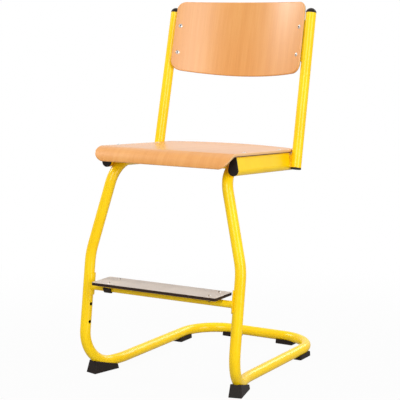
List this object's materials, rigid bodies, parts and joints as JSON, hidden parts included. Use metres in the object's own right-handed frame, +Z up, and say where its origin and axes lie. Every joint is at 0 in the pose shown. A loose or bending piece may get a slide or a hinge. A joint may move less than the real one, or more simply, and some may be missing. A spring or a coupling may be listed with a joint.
{
  "type": "school chair with footrest",
  "caption": "High school chair on a bent steel tube sled base, with moulded plywood seat and back, plastic feet and a laminate footrest that slides along the legs.",
  "frame": {"origin": "on the floor, under the middle of the chair's overall length and width", "axes": "+Z up, the sitter faces -Y, +X to the right as seen from the front"},
  "size_m": [0.479, 0.5947, 0.976],
  "materials": {
    "yellow_powder_coat": "glossy yellow powder coat on steel tube",
    "beech_plywood": "clear satin lacquer on beech veneer",
    "laminate_board": "matt warm grey high-pressure laminate with a black core",
    "black_plastic": "moulded black plastic, satin",
    "bright_steel": "bright zinc-plated steel"
  },
  "bodies": {
    "frame": {"back_panel": "beech_plywood", "back_rivets": "bright_steel", "front_cross_tube": "yellow_powder_coat", "left_back_lug": "yellow_powder_coat", "left_back_post": "yellow_powder_coat", "left_base_tube": "yellow_powder_coat", "left_crossbar_glide": "black_plastic", "left_front_foot": "black_plastic", "left_post_bottom_cap": "black_plastic", "left_post_top_cap": "black_plastic", "left_rail_front_cap": "black_plastic", "left_rail_rear_cap": "black_plastic", "left_runner_glide": "black_plastic", "left_seat_rail": "yellow_powder_coat", "rear_bar_sleeve": "yellow_powder_coat", "rear_cross_tube": "yellow_powder_coat", "right_back_lug": "yellow_powder_coat", "right_back_post": "yellow_powder_coat", "right_base_tube": "yellow_powder_coat", "right_crossbar_glide": "black_plastic", "right_front_foot": "black_plastic", "right_post_bottom_cap": "black_plastic", "right_post_top_cap": "black_plastic", "right_rail_front_cap": "black_plastic", "right_rail_rear_cap": "black_plastic", "right_runner_glide": "black_plastic", "right_seat_rail": "yellow_powder_coat", "seat_rivets": "bright_steel", "seat_shell": "beech_plywood"},
    "footrest": {"footrest_bar": "yellow_powder_coat", "footrest_board": "laminate_board", "board_rivets": "bright_steel", "left_footrest_saddle": "yellow_powder_coat", "left_board_tab": "yellow_powder_coat", "right_footrest_saddle": "yellow_powder_coat", "right_board_tab": "yellow_powder_coat"},
    "left_pin": {"left_locking_pin": "bright_steel", "left_release_grip": "black_plastic"},
    "right_pin": {"right_locking_pin": "bright_steel", "right_release_grip": "black_plastic"}
  },
  "joints": [
    {"name": "footrest_slide", "type": "slide", "parent": "frame", "child": "footrest", "axis": [0, 0.1418, 0.9899], "range_m": [-0.094, 0]},
    {"name": "left_pin_slide", "type": "slide", "parent": "footrest", "child": "left_pin", "axis": [-1, 0, 0], "range_m": [0, 0.006]},
    {"name": "right_pin_slide", "type": "slide", "parent": "footrest", "child": "right_pin", "axis": [1, 0, 0], "range_m": [0, 0.006]}
  ]
}
